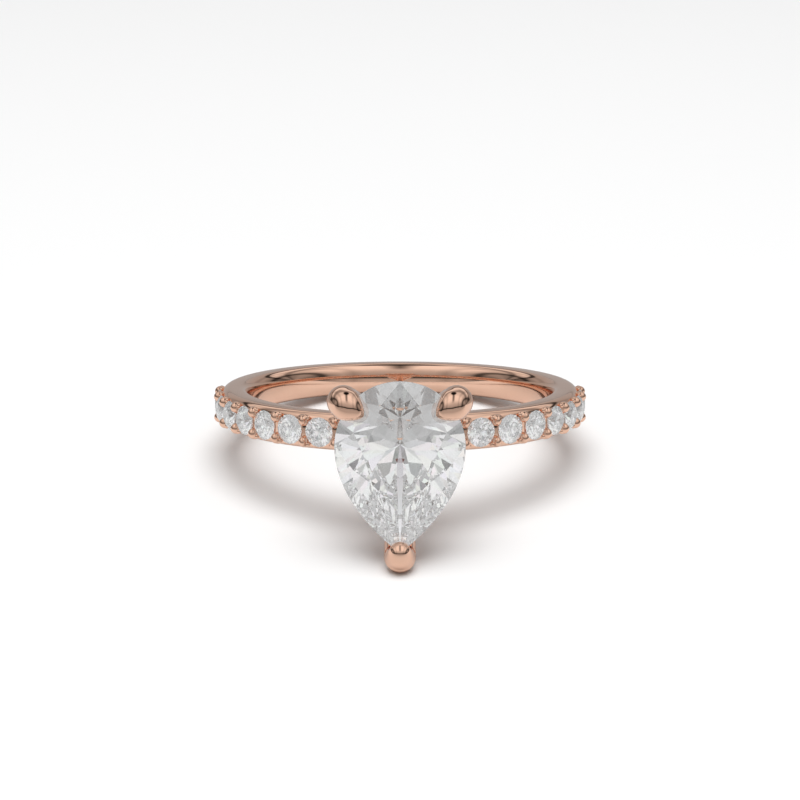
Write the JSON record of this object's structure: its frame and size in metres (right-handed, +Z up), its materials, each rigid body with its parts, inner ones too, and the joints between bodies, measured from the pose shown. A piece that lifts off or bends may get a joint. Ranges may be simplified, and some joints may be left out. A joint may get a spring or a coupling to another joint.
{
  "type": "engagement ring",
  "caption": "Ring with a pear-cut stone in a three-claw basket and small round stones bead-set along the front half of its band.",
  "frame": {"origin": "on the table the ring lies on, under the middle of its bounding box", "axes": "+Z up from the table, -Y towards the head and the front of the centre stone, +X to the right seen from the front"},
  "size_m": [0.0208, 0.025, 0.0097],
  "materials": {
    "rose_gold": "polished rose gold",
    "centre_diamond": "clear, polished facets",
    "side_diamonds": "clear, polished facets"
  },
  "bodies": {
    "root": {"shank": "rose_gold", "gallery_rail_upper": "rose_gold", "gallery_rail_lower": "rose_gold", "claw_left": "rose_gold", "claw_right": "rose_gold", "claw_point": "rose_gold", "head_base": "rose_gold", "centre_stone": "centre_diamond", "side_stone_left_1": "side_diamonds", "side_stone_left_2": "side_diamonds", "side_stone_left_3": "side_diamonds", "side_stone_left_4": "side_diamonds", "side_stone_left_5": "side_diamonds", "side_stone_left_6": "side_diamonds", "side_stone_left_7": "side_diamonds", "side_stone_left_8": "side_diamonds", "side_stone_right_1": "side_diamonds", "side_stone_right_2": "side_diamonds", "side_stone_right_3": "side_diamonds", "side_stone_right_4": "side_diamonds", "side_stone_right_5": "side_diamonds", "side_stone_right_6": "side_diamonds", "side_stone_right_7": "side_diamonds", "side_stone_right_8": "side_diamonds"}
  },
  "joints": []
}
